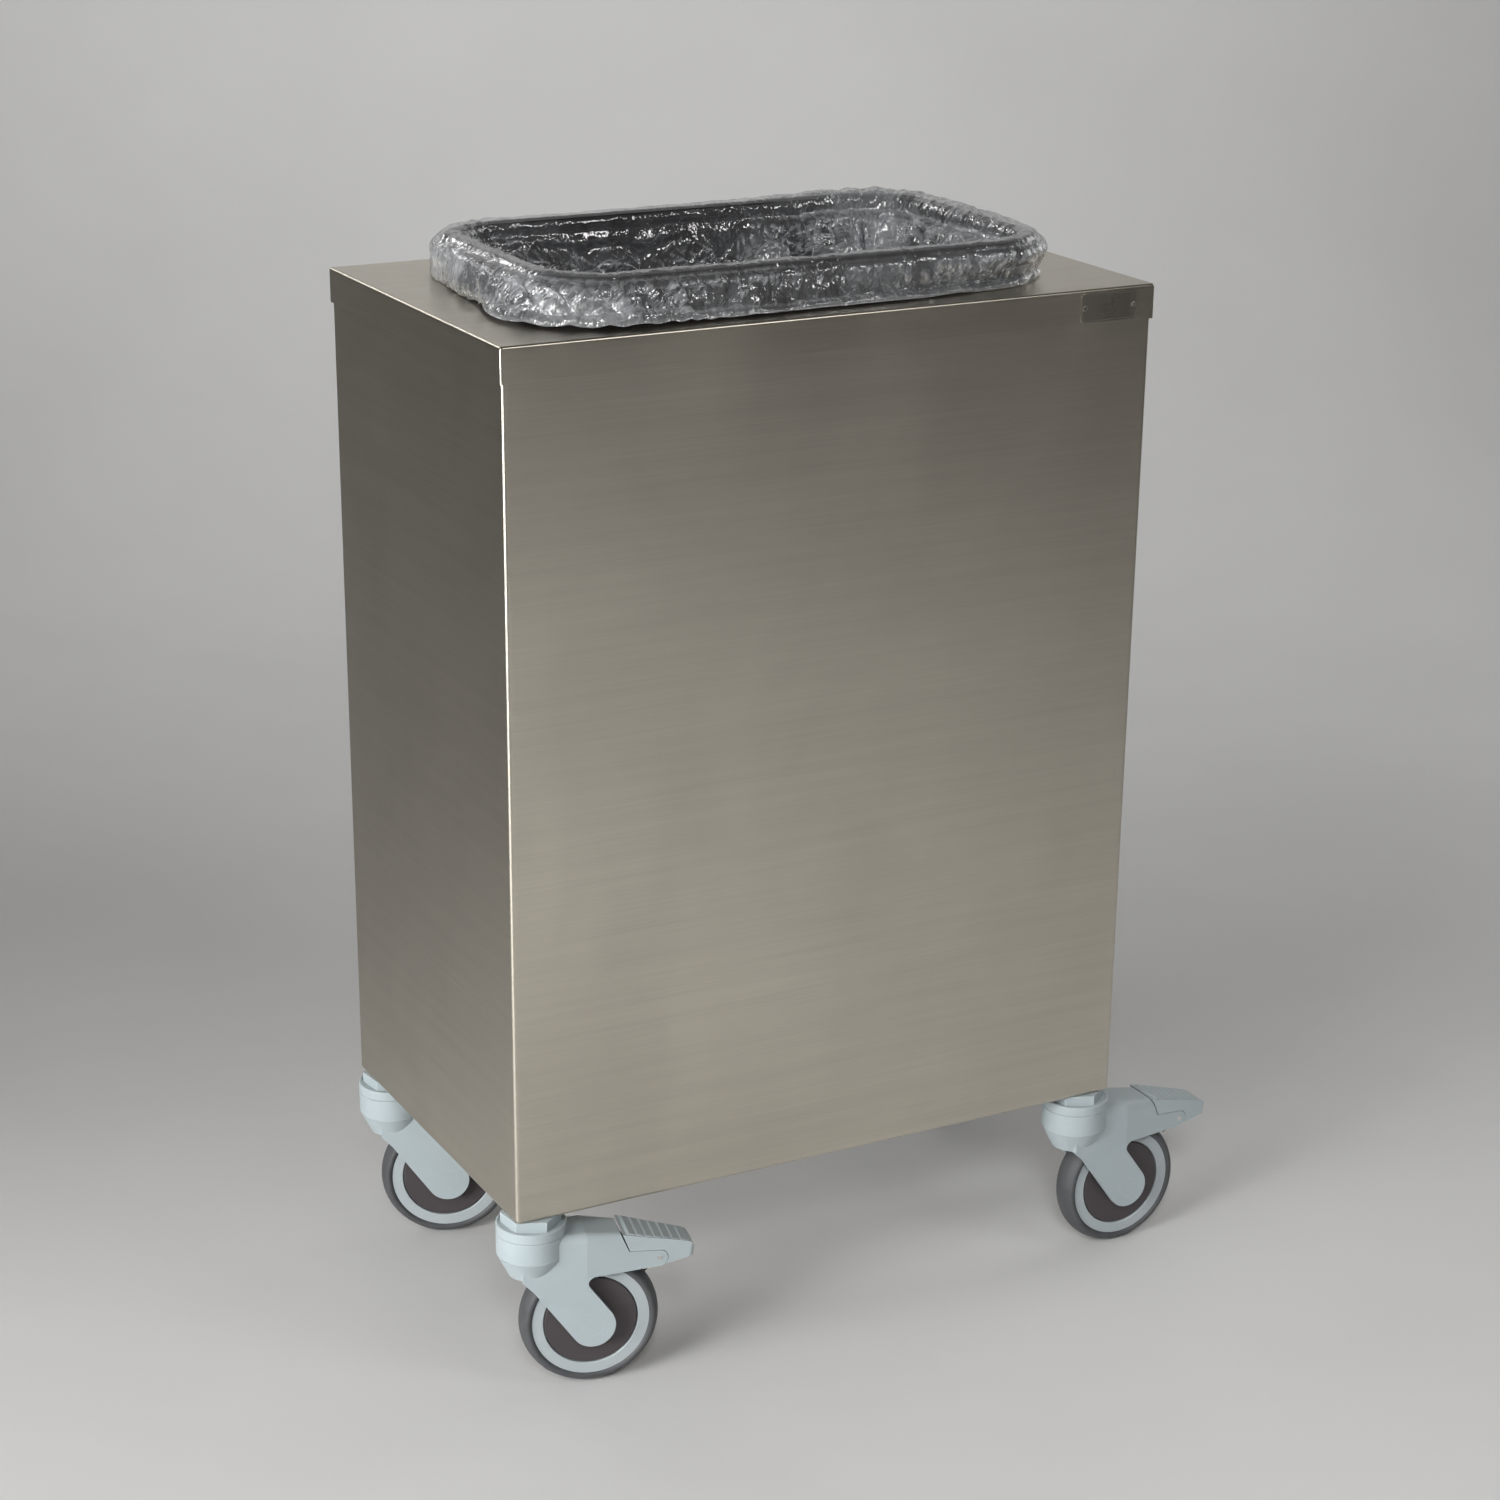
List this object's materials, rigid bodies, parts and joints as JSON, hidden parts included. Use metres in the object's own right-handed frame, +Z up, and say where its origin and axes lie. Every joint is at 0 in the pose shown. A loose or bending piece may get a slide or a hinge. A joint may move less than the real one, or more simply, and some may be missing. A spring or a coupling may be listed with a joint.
{
  "type": "biohazard waste bin",
  "caption": "Stainless steel bin on swivel casters: lift-off lid with an opening, tapered inner container, thin clear bag turned over its rim, rocker brake pedals.",
  "frame": {"origin": "on the floor, below the centre of the cabinet's plan", "axes": "+X along the front to the right, +Y from the front to the back, +Z up"},
  "size_m": [0.7393, 0.4022, 0.9725],
  "materials": {
    "stainless": "horizontally brushed stainless sheet",
    "nameplate": "satin plate, no lettering",
    "plated_steel": "zinc-plated steel",
    "container_plastic": "moulded polyethylene, fine grain",
    "bag_film": "clear wrinkled film",
    "caster_plastic": "light blue-grey moulded nylon",
    "pedal_plastic": "light blue-grey moulded nylon",
    "wheel_plastic": "light grey moulded ring",
    "wheel_cover": "dark maroon-grey disc, fine grain",
    "tyre_rubber": "mid grey thermoplastic rubber",
    "brake_block": "dark friction block"
  },
  "bodies": {
    "cabinet": {"cabinet_wrap": "stainless", "back_panel": "stainless", "base_pan": "stainless", "bolster_left": "plated_steel", "bolster_right": "plated_steel", "caster_stems": "plated_steel", "caster_nuts": "plated_steel", "caster_washers": "plated_steel", "head_cap_front_left": "caster_plastic", "head_cap_front_right": "caster_plastic", "head_cap_rear_left": "caster_plastic", "head_cap_rear_right": "caster_plastic"},
    "lid": {"lid": "stainless", "nameplate": "nameplate", "nameplate_rivets": "plated_steel"},
    "container": {"container": "container_plastic"},
    "bag_liner": {"bag_liner": "bag_film"},
    "caster_front_left": {"fork_front_left": "caster_plastic", "swivel_bearing_front_left": "plated_steel", "axle_front_left": "plated_steel", "pedal_pin_front_left": "plated_steel"},
    "wheel_front_left": {"tyre_front_left": "tyre_rubber", "wheel_centre_front_left": "wheel_plastic", "wheel_covers_front_left": "wheel_cover", "wheel_bearings_front_left": "plated_steel"},
    "brake_front_left": {"pedal_front_left": "pedal_plastic", "brake_shoe_front_left": "brake_block"},
    "caster_front_right": {"fork_front_right": "caster_plastic", "swivel_bearing_front_right": "plated_steel", "axle_front_right": "plated_steel", "pedal_pin_front_right": "plated_steel"},
    "wheel_front_right": {"tyre_front_right": "tyre_rubber", "wheel_centre_front_right": "wheel_plastic", "wheel_covers_front_right": "wheel_cover", "wheel_bearings_front_right": "plated_steel"},
    "brake_front_right": {"pedal_front_right": "pedal_plastic", "brake_shoe_front_right": "brake_block"},
    "caster_rear_left": {"fork_rear_left": "caster_plastic", "swivel_bearing_rear_left": "plated_steel", "axle_rear_left": "plated_steel"},
    "wheel_rear_left": {"tyre_rear_left": "tyre_rubber", "wheel_centre_rear_left": "wheel_plastic", "wheel_covers_rear_left": "wheel_cover", "wheel_bearings_rear_left": "plated_steel"},
    "caster_rear_right": {"fork_rear_right": "caster_plastic", "swivel_bearing_rear_right": "plated_steel", "axle_rear_right": "plated_steel"},
    "wheel_rear_right": {"tyre_rear_right": "tyre_rubber", "wheel_centre_rear_right": "wheel_plastic", "wheel_covers_rear_right": "wheel_cover", "wheel_bearings_rear_right": "plated_steel"}
  },
  "joints": [
    {"name": "lid_lift", "type": "slide", "parent": "cabinet", "child": "lid", "axis": [0, 0, 1], "range_m": [0, 0.8]},
    {"name": "container_lift", "type": "slide", "parent": "lid", "child": "container", "axis": [0, 0, 1], "range_m": [0, 0.8]},
    {"name": "bag_lift", "type": "slide", "parent": "container", "child": "bag_liner", "axis": [0, 0, 1], "range_m": [0, 0.8]},
    {"name": "swivel_front_left", "type": "hinge", "parent": "cabinet", "child": "caster_front_left", "pos_m": [-0.2823, -0.1611, 0.16], "axis": [0, 0, 1], "continuous": true},
    {"name": "roll_front_left", "type": "hinge", "parent": "caster_front_left", "child": "wheel_front_left", "pos_m": [-0.23376, -0.17311, 0.0625], "axis": [0.2402, 0.9707, 0], "continuous": true},
    {"name": "brake_front_left", "type": "hinge", "parent": "caster_front_left", "child": "brake_front_left", "pos_m": [-0.17455, -0.18776, 0.119], "axis": [0.2402, 0.9707, 0], "range_deg": [0, 12]},
    {"name": "swivel_front_right", "type": "hinge", "parent": "cabinet", "child": "caster_front_right", "pos_m": [0.2823, -0.1611, 0.16], "axis": [0, 0, 1], "continuous": true},
    {"name": "roll_front_right", "type": "hinge", "parent": "caster_front_right", "child": "wheel_front_right", "pos_m": [0.3323, -0.16066, 0.0625], "axis": [-0.0087, 1, 0], "continuous": true},
    {"name": "brake_front_right", "type": "hinge", "parent": "caster_front_right", "child": "brake_front_right", "pos_m": [0.3933, -0.16013, 0.119], "axis": [-0.0087, 1, 0], "range_deg": [0, 12]},
    {"name": "swivel_rear_left", "type": "hinge", "parent": "cabinet", "child": "caster_rear_left", "pos_m": [-0.2823, 0.1611, 0.16], "axis": [0, 0, 1], "continuous": true},
    {"name": "roll_rear_left", "type": "hinge", "parent": "caster_rear_left", "child": "wheel_rear_left", "pos_m": [-0.23508, 0.14466, 0.0625], "axis": [0.3289, 0.9444, 0], "continuous": true},
    {"name": "swivel_rear_right", "type": "hinge", "parent": "cabinet", "child": "caster_rear_right", "pos_m": [0.2823, 0.1611, 0.16], "axis": [0, 0, 1], "continuous": true},
    {"name": "roll_rear_right", "type": "hinge", "parent": "caster_rear_right", "child": "wheel_rear_right", "pos_m": [0.33181, 0.16806, 0.0625], "axis": [-0.1392, 0.9903, 0], "continuous": true}
  ]
}
